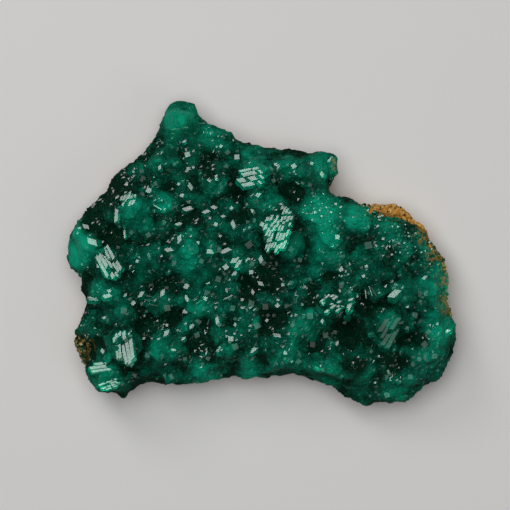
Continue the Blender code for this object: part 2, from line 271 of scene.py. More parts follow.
fill_sockets(
    tree,
    tree.nodes["Principled BSDF"],
    {
        "Base Color": mossy.outputs["Colour"],
        "Roughness": 0.85,
        "Normal": grit.outputs["Normal"],
    },
)
finish_piece(rock, rock_material, "rock", "matrix")

# The lamps and the camera, which the crystals' bright faces are turned to.
# A softbox at the upper left makes the crystals flash, a dim one at the lower right fills, and a
# wide polarised one overhead lights colours without glare. The camera looks straight down.
CAMERA_AT = Vector((-0.00135, -0.00028, 0.770))
CAMERA_LENS = 300
CAMERA_SENSOR = 36
KEY_AT = Vector((-0.24, 0.30, 0.36))
KEY_SIZE = 0.18
KEY_WATTS = 0.46
FILL_AT = Vector((0.36, -0.22, 0.42))
FILL_SIZE = 0.30
FILL_WATTS = 0.21
OVERHEAD_AT = Vector((-0.12, 0.14, 1.0))
OVERHEAD_SIZE = 0.9
OVERHEAD_WATTS = 6.6
MIDDLE = Vector((0, 0, 0.01))


def add_softbox(name, place, size, watts):
    bpy.ops.object.light_add(type="AREA", location=place)
    lamp = bpy.context.object
    lamp.name = name
    lamp.data.size = size
    lamp.data.energy = watts
    lamp.rotation_euler = (MIDDLE - place).to_track_quat("-Z", "Y").to_euler()
    return lamp


add_softbox("key_softbox", KEY_AT, KEY_SIZE, KEY_WATTS)
add_softbox("fill_softbox", FILL_AT, FILL_SIZE, FILL_WATTS)
overhead = add_softbox("overhead_softbox", OVERHEAD_AT, OVERHEAD_SIZE, OVERHEAD_WATTS)
overhead.visible_glossy = False
overhead.visible_transmission = False
bpy.ops.object.camera_add(location=CAMERA_AT, rotation=(0, 0, 0))
camera = bpy.context.object
camera.data.lens = CAMERA_LENS
camera.data.sensor_width = CAMERA_SENSOR
bpy.context.scene.camera = camera


def mirror_normal(place, lamp_at):
    """The normal of a face at a place that shows the lamp to the camera."""
    return ((CAMERA_AT - place).normalized() + (lamp_at - place).normalized()).normalized()


# One crystal.
# Dioptase grows as six-sided prisms with a three-faced tip. Each rhomb of the tip lies over an edge
# of the prism, and leans 51 degrees. It is modelled once, of radius 1, with its tip at the origin.
TIP_ANGLE = math.radians(51)
TIP_SLOPE = math.tan(TIP_ANGLE)
CRYSTAL_LENGTH = 4.5

bpy.ops.object.select_all(action="DESELECT")
bpy.ops.mesh.primitive_cylinder_add(
    vertices=6, radius=1, depth=CRYSTAL_LENGTH, location=(0, 0, -CRYSTAL_LENGTH / 2)
)
crystal = bpy.context.object
crystal.name = "one_crystal"
bpy.ops.object.transform_apply(location=True, rotation=True, scale=True)
bpy.ops.object.mode_set(mode="EDIT")
bpy.ops.mesh.select_mode(type="FACE")
bpy.ops.mesh.select_all(action="DESELECT")
crystal_bm = bmesh.from_edit_mesh(crystal.data)
for face in crystal_bm.faces:
    face.select_set(abs(face.normal.z) > 0.9)
bmesh.update_edit_mesh(crystal.data)
bpy.ops.mesh.poke()
bpy.ops.object.mode_set(mode="OBJECT")
# Each end's corners are drawn back in turn by a whole and by half a slope, which makes the rhombs
for end, level in ((1, 0.0), (-1, -CRYSTAL_LENGTH)):
    ring = [
        v
        for v in crystal.data.vertices
        if abs(v.co.z - level) < 0.01 and v.co.xy.length > 0.5
    ]
    ring.sort(key=lambda v: math.atan2(v.co.y, v.co.x))
    for number, vertex in enumerate(ring):
        full = (number % 2 == 0) == (end == 1)
        vertex.co.z -= end * TIP_SLOPE * (1.0 if full else 0.5)
    if end == 1:
        EDGE_AZIMUTH = math.atan2(ring[0].co.y, ring[0].co.x)
bpy.ops.object.mode_set(mode="EDIT")
bpy.ops.mesh.select_all(action="SELECT")
bpy.ops.mesh.dissolve_limited(angle_limit=math.radians(0.5))
bpy.ops.object.mode_set(mode="OBJECT")
crystal_points = np.array([v.co for v in crystal.data.vertices])
crystal_faces = [list(polygon.vertices) for polygon in crystal.data.polygons]
crystal_foot = crystal_points[:, 2] < -CRYSTAL_LENGTH / 2
bpy.data.objects.remove(crystal)

# The local directions of a rhomb of the tip and of a side of the prism
EDGE_WAY = Vector((math.cos(EDGE_AZIMUTH), math.sin(EDGE_AZIMUTH), 0))
RHOMB_NORMAL = (EDGE_WAY * math.sin(TIP_ANGLE) + Vector((0, 0, math.cos(TIP_ANGLE)))).normalized()
RHOMB_MIDDLE = EDGE_WAY * 0.5 + Vector((0, 0, -0.5 * TIP_SLOPE))
SIDE_NORMAL = Vector(
    (math.cos(EDGE_AZIMUTH + math.pi / 6), math.sin(EDGE_AZIMUTH + math.pi / 6), 0)
)
SIDE_REACH = 0.866
UP = Vector((0, 0, 1))


def turned(local_a, local_b, world_a, world_b):
    """The rotation that takes two local directions at right angles to two in the world."""
    local = Matrix((local_a, local_b, local_a.cross(local_b))).transposed()
    world = Matrix((world_a, world_b, world_a.cross(world_b))).transposed()
    return world @ local.transposed()


# The crust's body: the massive green part of the crust and its largest crystals, which carry the
# small ones. It is the solid's mesh, made finer and even. Its skin is softly lumpy and finely
# etched, apart from the smooth, bare knobs.
BARE = [((-15.2, 24.2), 3.4), ((-33.3, 1.8), 2.6), ((-4.3, 2.4), 1.2), ((9.7, 2.0), 1.6)]
SKIN_GRAIN = 0.46
SKIN_LUMPS = [(1.5, 0.34), (0.7, 0.20)]
SKIN_GRIT = [(0.31, 0.16)]
KNOB_LUMPINESS = 0.5
OVER_THE_RIM = -0.2


def near(x, y, spots, spare=0.0):
    return any(math.hypot(x - sx, y - sy) < reach + spare for (sx, sy), reach in spots)


crust = copy_of_node("dioptase_crust", "dioptase_crust_crystals")
crust_remesh = crust.modifiers.new("even_skin", "REMESH")
crust_remesh.mode = "VOXEL"
crust_remesh.voxel_size = SKIN_GRAIN * MM
apply_all(crust)
skin_normals = [vertex.normal.copy() for vertex in crust.data.vertices]
for vertex, normal in zip(crust.data.vertices, skin_normals):
    if normal.z < OVER_THE_RIM:
        continue
    lump = lumps(vertex.co, SKIN_LUMPS)
    if near(vertex.co.x / MM, vertex.co.y / MM, BARE):
        lump *= KNOB_LUMPINESS
    else:
        lump += lumps(vertex.co, SKIN_GRIT)
    vertex.co += normal * lump * MM
crust_skin = BVHTree.FromObject(crust, bpy.context.evaluated_depsgraph_get())


def skin_at(x, y):
    """The crust's upper skin at a place in millimetres: a point and its normal, or None."""
    place, normal, _, _ = crust_skin.ray_cast(Vector((x * MM, y * MM, 0.05)), -UP)
    return (place, normal) if place else None


# How crystals grow: each is a copy of the one above, turned, sized and put on the skin, in the
# same green dioptase. Some stand as they like, and some have a face turned to a lamp. They are
# listed first, and joined to the crust once all have grown.
PLAIN = 1
FLASHING = 2
STANDING_LENGTH = 3.2
FACING_LENGTH = 3.4
chance = random.Random(11)
grown = []


def grow(tip, turn, radius, length, kind):
    """Adds a crystal to the list. length is its whole length in radii, and kind its material."""
    points = crystal_points.copy()
    points[crystal_foot, 2] += CRYSTAL_LENGTH - length
    points = points * radius @ np.array(turn).T + np.array(tip)
    middle = tip - turn @ UP * (length * radius / 2)
    grown.append((points, middle, radius * (length / 2 + 0.3), kind))


def jittered(direction, degrees):
    spread = math.tan(math.radians(degrees))
    shift = Vector([chance.gauss(0, spread) for _ in range(3)])
    return (direction + shift).normalized()


def towards(place, lamp_at, degrees):
    """About the normal of a face that shows a lamp to the camera."""
    return jittered(mirror_normal(place, lamp_at), degrees)


def grow_upright(place, normal, radius, lift, spread=0.45):
    """A crystal that stands on the skin, leaning at random."""
    lean = Vector((chance.gauss(0, spread), chance.gauss(0, spread), 0))
    axis = (normal + UP * 0.5 + lean).normalized()
    turn = axis.to_track_quat("Z", "Y").to_matrix()
    turn = turn @ Matrix.Rotation(chance.uniform(0, math.tau), 3, "Z")
    grow(place + axis * lift, turn, radius, STANDING_LENGTH + lift / radius, PLAIN)


def grow_facing(place, facing, radius, lift, kind=FLASHING):
    """A crystal whose tip has a rhomb turned to face a given way."""
    for _ in range(20):
        heading = chance.uniform(0, math.tau)
        across = Vector((math.cos(heading), math.sin(heading), 0)).cross(facing).normalized()
        turn = turned(RHOMB_NORMAL, UP.cross(EDGE_WAY), facing, across)
        if (turn @ UP).z > 0.5:
            break
    tip = place + facing * lift - turn @ (RHOMB_MIDDLE * radius)
    grow(tip, turn, radius, FACING_LENGTH, kind)


def grow_lying(middle, facing, heading, radius, length, kind=FLASHING):
    """A crystal that lies along a heading, with a side of its prism turned to face a way."""
    along = Vector((math.cos(heading), math.sin(heading), 0))
    along = (along - facing * along.dot(facing)).normalized()
    turn = turned(SIDE_NORMAL, UP, facing, along)
    length += TIP_SLOPE * radius
    tip = middle - facing * radius * SIDE_REACH + along * length / 2
    grow(tip, turn, radius, length / radius, kind)


# The groups that grew in step: in them many narrow crystals of dioptase share one direction, so
# that their sides flash together as stripes. They grew along the side of larger crystals, which
# lie under them and stand on props of the same kind.

# Each has a middle, the heading of its stripes, the group's length and width, the width of a
# stripe, the length of a piece of it and the lamp that it shows
STEPPED = [
    ((-27.3, -1.8), -57, 5.2, 3.2, 0.56, 4.2, KEY_AT),
    ((-2.2, 13.6), 9, 4.4, 3.2, 0.62, 2.4, KEY_AT),
    ((2.6, 4.6), 75, 7.6, 4.4, 0.46, 1.45, KEY_AT),
    ((-24.7, -16.3), 104, 4.8, 3.2, 0.54, 4.0, KEY_AT),
    ((-26.1, 7.8), 88, 4.8, 0.8, 0.70, 4.8, KEY_AT),
    ((-23.9, 9.7), 78, 2.4, 2.4, 0.36, 1.4, KEY_AT),
    ((-24.7, 4.0), 95, 1.8, 0.4, 0.45, 1.8, KEY_AT),
    ((12.4, -9.0), 38, 3.4, 3.2, 0.42, 1.1, KEY_AT),
    ((15.5, -8.9), 75, 1.8, 0.7, 0.75, 1.8, KEY_AT),
    ((15.0, -10.9), 60, 1.4, 0.9, 0.90, 1.4, KEY_AT),
    ((22.9, -13.4), 60, 5.0, 2.8, 0.80, 3.6, FILL_AT),
    ((24.0, -6.7), 45, 2.2, 1.0, 0.95, 2.2, KEY_AT),
    ((-9.9, 7.7), 25, 1.6, 0.9, 0.85, 1.6, KEY_AT),
    ((-8.5, 8.4), 25, 1.3, 0.9, 0.75, 1.3, KEY_AT),
    ((-4.5, -1.2), 60, 2.0, 1.5, 0.75, 2.0, KEY_AT),
    ((-28.8, -20.4), 3, 3.8, 1.3, 0.42, 3.4, KEY_AT),
    ((-27.4, -23.4), 20, 3.4, 1.6, 0.40, 1.1, KEY_AT),
    ((-30.4, 2.0), -20, 2.2, 0.9, 0.90, 2.2, KEY_AT),
]
USUAL_HEIGHT = 13
# The share of the skin's heights that a group's plane lies over
PLANE_SHARE = 0.85
# Groups wider than this lie on larger crystals, and those wider than the other on two of them
CARRIED_FROM = 1.2
TWO_CARRIERS_FROM = 2.4
# The radius of one carrier and of each of two, and how far apart two lie, by the group's width
ONE_CARRIER = 0.5
EACH_OF_TWO = 0.34
CARRIERS_APART = 0.42
CARRIER_DEPTH = 0.30
LEAST_CARRIER = 0.4
# The props: their places along a short and a long group, their radius by its width, their length
# in radii and how deep their tips lie
SHORT_GROUP_PROPS = (-0.2, 0.2)
LONG_GROUP_PROPS = (-0.34, 0.0, 0.34)
LONG_FROM = 4
PROP_RADIUS = 0.38
PROP_LENGTH = 3.8
PROP_DEPTH = 0.4
# The stripes: how their width, the length of their pieces and the gaps vary, by the usual size
STRIPE_WIDTHS = (0.65, 1.35)
STRIPE_PITCH = 1.2
PIECE_LENGTHS = (0.55, 1.3)
PIECE_PITCHES = (1.0, 1.25)
FIRST_STARTS = (0.0, 0.8)
STANDS_PROUD = (0.05, 0.32)
HEADING_SPREAD = 0.04
AIM_SPREAD = 0.9
# Short pieces in a group wider than this are left out here and there
RAGGED_FROM = 1.5
LEFT_OUT = 0.35


def level_way(heading):
    return Vector((math.cos(heading), math.sin(heading), 0))


def drop(shift, facing):
    """How far a plane that faces a way falls over a level shift."""
    return shift.dot(facing) / facing.z


def plane_height(x, y, along, across, facing):
    """How high the plane of a group lies over its middle. along and across are its full sides."""
    heights = []
    for part_along in (-0.4, -0.2, 0.0, 0.2, 0.4):
        for part_across in (-0.4, 0.0, 0.4):
            shift = along * part_along + across * part_across
            found = skin_at(x + shift.x, y + shift.y)
            if found:
                heights.append(found[0].z / MM + drop(shift, facing))
    return sorted(heights)[int(len(heights) * PLANE_SHARE)]


def grow_carriers(x, y, top, heading, length, width, facing):
    """The larger crystals under a group, turned a little away from its lamp, and their props."""
    along = level_way(heading)
    across = Vector((-along.y, along.x, 0))
    count = 2 if width > TWO_CARRIERS_FROM else 1
    radius = width * (EACH_OF_TWO if count == 2 else ONE_CARRIER)
    for number in range(count):
        beside = (number - (count - 1) / 2) * width * CARRIERS_APART
        body = Vector((x, y, top)) + across * beside
        body.z -= CARRIER_DEPTH + drop(across * beside, facing)
        aim = (facing + UP * 0.35).normalized()
        body_length = max(length - TIP_SLOPE * radius, LEAST_CARRIER)
        grow_lying(body * MM, aim, heading, radius * MM, body_length * MM, PLAIN)
    for share in LONG_GROUP_PROPS if length > LONG_FROM else SHORT_GROUP_PROPS:
        tip = Vector((x, y, top - PROP_DEPTH)) + along * length * share
        tip.z -= drop(along * length * share, facing)
        turn = (facing + UP).to_track_quat("Z", "Y").to_matrix()
        grow(tip * MM, turn, PROP_RADIUS * width * MM, PROP_LENGTH, PLAIN)


alone = []
for (x, y), heading, length, width, stripe, piece_length, lamp_at in STEPPED:
    heading = math.radians(heading)
    along = level_way(heading)
    across = Vector((-along.y, along.x, 0))
    facing = mirror_normal(Vector((x, y, USUAL_HEIGHT)) * MM, lamp_at)
    top = plane_height(x, y, along * length, across * width, facing)
    for share in (-0.35, 0.0, 0.35):
        spot = Vector((x, y, 0)) + along * length * share
        alone.append((spot.xy, max(0.45 * width, 0.5)))
    if width > CARRIED_FROM:
        grow_carriers(x, y, top, heading, length, width, facing)
    kind = FLASHING if lamp_at == KEY_AT else PLAIN
    ragged = piece_length < RAGGED_FROM and width > RAGGED_FROM
    offset = -width / 2
    while offset < width / 2 - stripe * 0.3:
        radius = stripe * chance.uniform(*STRIPE_WIDTHS)
        middle_offset = offset + radius / 2
        # The group is rounded: its stripes are shorter towards its sides
        half = length / 2 * math.sqrt(max(0.2, 1 - (2 * middle_offset / (width * 1.2)) ** 2))
        start = -half - chance.uniform(*FIRST_STARTS) * min(piece_length, half)
        while start < half - 0.5 * radius:
            piece = min(piece_length * chance.uniform(*PIECE_LENGTHS), half - start + 0.3)
            shift = along * (start + piece / 2) + across * middle_offset
            place = Vector((x, y, top)) + shift
            place.z -= drop(shift, facing)
            found = skin_at(place.x, place.y)
            left_out = ragged and chance.random() < LEFT_OUT
            if found and start + piece > 0.3 - half and not left_out:
                place.z = max(place.z, found[0].z / MM + 0.1) + chance.uniform(*STANDS_PROUD)
                turn = heading + chance.gauss(0, HEADING_SPREAD)
                aim = jittered(facing, AIM_SPREAD)
                grow_lying(place * MM, aim, turn, radius * MM, piece * MM, kind)
            start += piece * chance.uniform(*PIECE_PITCHES)
        offset += radius * STRIPE_PITCH

# The needles: a few hair-thin crystals lie flat on the skin, alone or in a fan, and most of them
# shine faintly. Each has a middle, the heading it lies along and its length, in millimetres.
BRIGHT_NEEDLES = [
    ((-6.9, -8.2), 25, 3.6), ((18.3, -6.6), 100, 3.0), ((19.1, -6.3), 112, 2.6),
    ((-4.9, -15.5), 20, 2.4), ((-19.0, 8.4), -32, 2.4), ((-1.6, 10.7), 50, 1.9),
]
FAINT_NEEDLES = [
    ((-11.1, -7.4), 33, 4.2), ((-10.6, -8.2), 30, 3.2), ((-9.4, -11.6), 70, 2.6),
    ((17.5, -6.9), 88, 2.8), ((19.9, -7.0), 120, 2.2), ((16.3, -5.9), 40, 3.4),
    ((15.4, -6.6), 33, 2.8), ((-19.6, -8.4), -8, 3.2), ((-19.0, -9.3), -14, 2.6),
    ((-23.6, -8.2), 5, 2.6), ((6.0, -8.4), 64, 2.2), ((9.6, -5.6), -22, 2.4),
    ((-14.4, 10.2), -10, 2.2), ((-14.7, 22.3), 2, 3.2), ((-14.9, 21.5), -2, 2.8),
]
NEEDLE_RADIUS = 0.16
for needles, lamp_at in ((BRIGHT_NEEDLES, KEY_AT), (FAINT_NEEDLES, FILL_AT)):
    for (x, y), heading, length in needles:
        heading = math.radians(heading)
        along = level_way(heading)
        spots = [Vector((x, y, 0)) + along * length * share for share in (-0.4, 0, 0.4)]
        ends = [skin_at(spot.x, spot.y) for spot in spots]
        levels = sorted(end[0].z for end in ends if end)
        middle = Vector((x * MM, y * MM, levels[len(levels) // 2]))
        aim = towards(middle, lamp_at, 2.0)
        middle += UP * 0.15 * MM
        grow_lying(middle, aim, heading, NEEDLE_RADIUS * MM, length * MM, PLAIN)

# The dull faces: some larger crystals have a tip's face that shows the dim lamp, and is grey
# green. Each has a middle and the crystal's radius, in millimetres.
DULL = [
    ((-24.9, -10.1), 1.0), ((-17.2, -9.6), 0.95), ((-11.9, -14.5), 0.8), ((-8.1, -4.5), 0.85),
    ((-2.6, 1.7), 1.0), ((0.3, -9.4), 0.9), ((4.3, -9.6), 1.1), ((18.7, 1.6), 1.1),
    ((13.9, -5.5), 0.9), ((28.7, -16.1), 0.9), ((30.5, -18.2), 0.8), ((20.5, -10.5), 0.7),
    ((23.4, 1.3), 0.8), ((-20.6, 3.4), 0.7), ((-6.4, 18.2), 0.7), ((8.8, -16.2), 0.8),
]
DULL_LIFT = 0.60
for (x, y), radius in DULL:
    place, normal = skin_at(x, y)
    grow_facing(place, towards(place, FILL_AT, 1.5), radius * MM, DULL_LIFT * MM, PLAIN)
    alone.append(((x, y), radius * 0.9))

# The druse: small crystals stand over the whole upper side of the crust. They are finest towards
# the upper right, and few on the bare knobs. Some have a face turned to the lamp, and flash.
FINE = [((23.1, 6.4), 7.0), ((28.1, 1.4), 5.0), ((10.7, 7.2), 4.2), ((-10.6, 21.6), 2.0)]
SPARKLING = [((-10.9, 22.6), 1.8), ((10.9, 7.4), 3.8), ((24.5, 5.2), 5.0), ((30.4, -0.6), 3.2)]
SPARKLING_MORE = 0.52
HALF_LENGTH = 37
HALF_WIDTH = 29
# How far apart places are, for lone crystals, for small ones and for the finest
LONE_STEP = 2.9
SMALL_STEP = 1.15
FINE_STEP = 0.72
ROW_PITCH = 0.866
# How far inside the rim each kind stays
LONE_MARGIN = 1.3
SMALL_MARGIN = 1.1
FINE_MARGIN = 0.5
EDGE_MARGIN = 0.3
# How much of the places have a lone crystal, left and right of a line across the crust
LONE_SHARES = (0.38, 0.26)
LONE_LINE = 5
# How thick each kind is: a range of radii, and for the small ones the least and what is added
LONE_RADII = (0.38, 0.80)
EDGE_RADII = (0.16, 0.34)
FINE_RADII = (0.18, 0.40)
LEAST_SMALL = 0.22
SMALL_SPAN = 0.42
# The rolls under which a crystal shows the bright lamp or the dim one, or stands as it likes
SMALL_ROLLS = (0.022, 0.10, 0.70)
FINE_ROLLS = (0.06, 0.20, 0.88)
FINE_LIFT = 0.20
EIGHT_WAYS = [(math.cos(way * math.tau / 8), math.sin(way * math.tau / 8)) for way in range(8)]


def well_inside(x, y, margin):
    """Whether the skin reaches this far on all sides, so that nothing sticks out of the rim."""
    return all(skin_at(x + dx * margin, y + dy * margin) for dx, dy in EIGHT_WAYS)


def scatter(step, wanted):
    """Places on a jittered triangular grid over the crust, where wanted says so."""
    rows = int(HALF_WIDTH / (step * ROW_PITCH)) + 1
    columns = int(HALF_LENGTH / step) + 1
    for row in range(-rows, rows + 1):
        for column in range(-columns, columns + 1):
            x = (column + 0.5 * (row % 2)) * step + chance.uniform(-0.38, 0.38) * step
            y = row * step * ROW_PITCH + chance.uniform(-0.38, 0.38) * step
            if wanted(x, y):
                found = skin_at(x, y)
                if found:
                    yield x, y, *found


# Lone crystals
for x, y, place, normal in scatter(
    LONE_STEP, lambda x, y: not near(x, y, BARE + FINE + alone, 0.5)
):
    share = LONE_SHARES[0] if x < LONE_LINE else LONE_SHARES[1]
    if not well_inside(x, y, LONE_MARGIN) or chance.random() > share:
        continue
    radius = chance.uniform(*LONE_RADII)
    facing = towards(place, KEY_AT, 2.5)
    alone.append(((x, y), radius * 0.8))
    if chance.random() < 0.4:
        grow_facing(place, facing, radius * MM, 0.50 * MM)
    else:
        heading = chance.uniform(0, math.tau)
        length = radius * chance.uniform(1.7, 3.0)
        grow_lying(place + UP * 0.55 * MM, facing, heading, radius * MM, length * MM)

# Small crystals between them
bright, dim, upright = SMALL_ROLLS
for x, y, place, normal in scatter(
    SMALL_STEP, lambda x, y: not near(x, y, BARE + FINE + alone, 0.3)
):
    radius = LEAST_SMALL + SMALL_SPAN * chance.random() ** 1.5
    roll = chance.random()
    if not well_inside(x, y, SMALL_MARGIN):
        continue
    if roll < bright:
        grow_facing(place, towards(place, KEY_AT, 3.0), radius * MM, 0.32 * MM)
    elif roll < dim:
        grow_facing(place, towards(place, FILL_AT, 4), radius * 1.5 * MM, 0.25 * MM)
    elif roll < upright:
        grow_upright(place, normal, radius * MM, radius * chance.uniform(0.2, 1.0) * MM)

# Those along the rim, where the skin turns down
for x, y, place, normal in scatter(FINE_STEP, lambda x, y: not near(x, y, BARE + alone, 0.3)):
    if well_inside(x, y, EDGE_MARGIN) and not well_inside(x, y, LONE_MARGIN):
        radius = chance.uniform(*EDGE_RADII) * MM
        axis = (normal + UP * 0.4).normalized()
        if chance.random() < 0.7:
            grow_upright(place, axis, radius, radius * chance.uniform(0.1, 0.9), 0.3)

# The finest, which sparkle in places
bright, dim, upright = FINE_ROLLS
for x, y, place, normal in scatter(FINE_STEP, lambda x, y: near(x, y, FINE)):
    radius = chance.uniform(*FINE_RADII) * MM
    roll = chance.random() * (SPARKLING_MORE if near(x, y, SPARKLING) else 1.0)
    if not well_inside(x, y, FINE_MARGIN):
        continue
    if roll < bright:
        grow_facing(place, towards(place, KEY_AT, 3), radius, FINE_LIFT * MM)
    elif roll < dim:
        grow_facing(place, towards(place, FILL_AT, 4), radius, FINE_LIFT * MM)
    elif roll < upright:
        grow_upright(place, normal, radius, radius * chance.uniform(0.4, 1.2))

# The rim's crystals: small ones of the same dioptase, which grew straight on the rock. They close
# over the lower half of the ochre strip, and are scattered down the right rim and at the lower
# left. Each row has two ends of a line, the line's half width, and how closely they stand.
RIM_GROWTH = [
    ((19.0, 6.9), (27.6, 3.6), 1.0, 0.95),
    ((14.6, 9.2), (19.4, 8.8), 1.5, 1.0),
    ((28.0, 3.2), (32.4, -2.6), 1.3, 0.62),
    ((32.4, -2.6), (33.2, -10.6), 1.4, 0.70),
    ((-32.0, -15.4), (-33.0, -19.8), 1.8, 0.85),
]
AREA_PER_TRY = 0.10
RIM_FLASHING = 0.14
RIM_RADII = (0.18, 0.42)
RIM_LIFT = 0.25
rock_skin = BVHTree.FromObject(rock, bpy.context.evaluated_depsgraph_get())
for start, end, half_width, share in RIM_GROWTH:
    start = Vector((*start, 0))
    end = Vector((*end, 0))
    along = (end - start).normalized()
    across = Vector((-along.y, along.x, 0))
    for _ in range(int((end - start).length * half_width * 2 / AREA_PER_TRY)):
        spot = start.lerp(end, chance.random()) + across * chance.uniform(-half_width, half_width)
        place, normal, _, _ = rock_skin.ray_cast(Vector((spot.x, spot.y, 50)) * MM, -UP)
        over = skin_at(spot.x, spot.y)
        if not place or (over and over[0].z > place.z) or chance.random() > share:
            continue
        radius = chance.uniform(*RIM_RADII) * MM
        if chance.random() < RIM_FLASHING:
            grow_facing(place, towards(place, KEY_AT, 3), radius, RIM_LIFT * MM)
        else:
            grow_upright(place, normal, radius, radius * chance.uniform(0.5, 1.3), 0.3)

# The crust and its crystals in one. On the real piece they are fused, so all the crystals are
# joined to the crust's body, in batches in each of which none touch one another. Each face then
# keeps whether it is a crystal's flashing side or broken, uneven skin.
BROKEN_FROM = 0.45
BROKEN_RANGE = 0.3
middles = KDTree(len(grown))
for number, (_, middle, _, _) in enumerate(grown):
    middles.insert(middle, number)
middles.balance()
batch_of = [-1] * len(grown)
widest = max(reach for _, _, reach, _ in grown)
for number, (_, middle, reach, _) in enumerate(grown):
    taken = {
        batch_of[other]
        for _, other, away in middles.find_range(middle, reach + widest)
        if batch_of[other] >= 0 and away < reach + grown[other][2]
    }
    batch_of[number] = next(batch for batch in range(len(grown)) if batch not in taken)
batches = []
for batch in range(max(batch_of) + 1):
    points = []
    faces = []
    kinds = []
    for number, (corners, _, _, kind) in enumerate(grown):
        if batch_of[number] == batch:
            start = len(points) * len(crystal_points)
            points.append(corners)
            faces.extend([index + start for index in face] for face in crystal_faces)
            kinds.extend([kind] * len(crystal_faces))
    mesh = bpy.data.meshes.new(f"batch_{batch}")
    mesh.from_pydata(np.concatenate(points).tolist(), [], faces)
    mesh.polygons.foreach_set("material_index", kinds)
    piece = bpy.data.objects.new(f"batch_{batch}", mesh)
    bpy.context.scene.collection.objects.link(piece)
    fuse = crust.modifiers.new(f"fuse_{batch}", "BOOLEAN")
    fuse.operation = "UNION"
    fuse.solver = "MANIFOLD"
    fuse.object = piece
    batches.append(piece)
for holder in [crust, *batches]:
    for slot in range(FLASHING + 1):
        holder.data.materials.append(None)
fused = bpy.data.meshes.new_from_object(
    crust.evaluated_get(bpy.context.evaluated_depsgraph_get())
)
crust.modifiers.clear()
crust.data = fused
for piece in batches:
    bpy.data.objects.remove(piece)
kinds = np.zeros(len(fused.polygons), np.int32)
fused.polygons.foreach_get("material_index", kinds)
fused.polygons.foreach_set("material_index", np.zeros_like(kinds))
# The material paints the flashing sides lighter, as a painted highlight
mark(fused, "flashing_side", "FACE", kinds == FLASHING)
# Steep skin faces are the broken sides: the material makes them rougher and paints them lighter, as
# a painted glow
steepness = np.array([1 - abs(polygon.normal.z) for polygon in fused.polygons])
steep = np.clip((steepness - BROKEN_FROM) / BROKEN_RANGE, 0, 1)
mark(fused, "broken_side", "FACE", steep * (kinds == 0))

# The dioptase itself: clear and emerald green in thin pieces, and nearly black where it is deep.
# Its green is painted lighter and darker: partly for clearer crystal, and partly a painted glow
# where light comes back out of it through clear, thin pieces, painted shade in its pits and
# hollows, and painted light where it stands over what is round it. Each place has a middle, a reach
# and a strength, in millimetres.
CLEAR_GLOW = [
    ((-14.9, 24.0), 4.6, 0.6), ((-9.3, 21.4), 4.0, 0.3), ((-33.5, 0.8), 4.2, 0.9),
    ((-28.3, -6.4), 3.6, 0.4), ((-22.5, 7.2), 3.6, 0.5), ((-17.9, 9.2), 2.4, 0.6),
    ((-12.5, -0.6), 5.0, 0.4), ((-11.9, -9.0), 3.6, 0.35), ((0.1, 10.0), 3.6, 0.4),
    ((10.7, 7.4), 4.8, 0.9), ((11.7, 2.4), 3.6, 0.6), ((4.7, 1.8), 3.2, 0.8),
    ((17.5, 6.2), 3.6, 0.8), ((10.5, 16.0), 3.4, 0.5), ((10.9, -0.8), 3.6, 0.4),
    ((-28.9, -22.4), 4.6, 0.6), ((-10.5, -22.8), 4.0, 0.6), ((-2.3, -21.6), 3.6, 0.5),
    ((33.0, -13.0), 5.0, 0.6), ((31.0, -20.0), 5.0, 0.25), ((25.0, -24.4), 4.4, 0.25),
    ((7.9, -12.6), 3.6, 0.4), ((5.1, -17.6), 3.6, 0.4), ((30.1, -6.0), 3.6, 0.4),
    ((12.1, -21.4), 3.6, 0.35), ((-18.3, -17.6), 3.6, 0.3), ((23.0, 6.2), 4.4, 0.45),
    ((29.6, 2.4), 3.6, 0.5), ((32.8, -3.6), 3.2, 0.7), ((33.0, -7.4), 4.2, 0.9),
    ((-1.5, 16.8), 4.0, 0.4), ((5.0, 15.6), 3.2, 0.3), ((2.6, 4.6), 3.0, 0.5),
]
# Painted shade: pits where the green is painted darker
PAINTED_SHADE_PITS = [
    ((0.8, -4.2), 3.4, 0.45), ((-2.2, -6.0), 3.0, 0.45), ((1.9, -12.0), 3.6, 0.6),
    ((15.2, -13.8), 3.4, 0.6), ((-27.5, 12.0), 4.8, 0.4), ((-29.8, 5.5), 3.0, 0.4),
    ((-26.9, 3.0), 2.6, 0.4), ((-8.9, 15.6), 3.2, 0.4), ((-13.6, 6.6), 3.0, 0.4),
    ((5.5, 10.9), 2.4, 0.4), ((-16.1, -5.3), 3.0, 0.10), ((-15.4, -11.4), 2.8, 0.12),
    ((-20.3, -12.0), 2.8, 0.10), ((15.8, -20.4), 2.8, 0.4), ((24.8, -20.4), 2.8, 0.4),
    ((27.8, -15.0), 2.4, 0.3), ((19.4, -9.6), 2.8, 0.4), ((-31.6, -16.1), 2.8, 0.3),
    ((11.3, -2.6), 2.4, 0.4), ((9.8, -18.0), 2.6, 0.3),
]
# Where spots of rust spread on the crystals from the bare rock: a middle and a reach
STAINED = [
    ((28.8, 3.4), 2.4), ((31.6, -0.4), 3.0), ((33.2, -4.8), 2.8), ((33.8, -9.2), 2.8),
    ((-32.4, -17.0), 2.8), ((13.0, 16.0), 1.3), ((13.0, 11.6), 1.3),
]
HALF_GRID = 60
RELIEF_PAINTED_SHADE = 0.16
RELIEF_SHIFT = 0.9
RELIEF_LIMITS = (-2.5, 1.5)
GREENS = [
    (0.0, (0.002, 0.050, 0.024, 1)),
    (0.35, (0.003, 0.26, 0.15, 1)),
    (1.0, (0.006, 0.88, 0.52, 1)),
]
OCHRE = (0.78, 0.50, 0.13, 1)
# How much lighter the broken skin and the flashing sides are painted: a painted glow on the broken
# skin, for light let through its thin rims, and a painted highlight on the sides turned to the key
# lamp
BROKEN_SIDE_PAINTED_GLOW = 0.22
FLASHING_PAINTED_HIGHLIGHT = 0.16
DEPTH_GREEN = (0.02, 0.72, 0.42, 1)
DEPTH_DENSITY = 500
REFRACTION = 1.66
CLARITY = 0.60

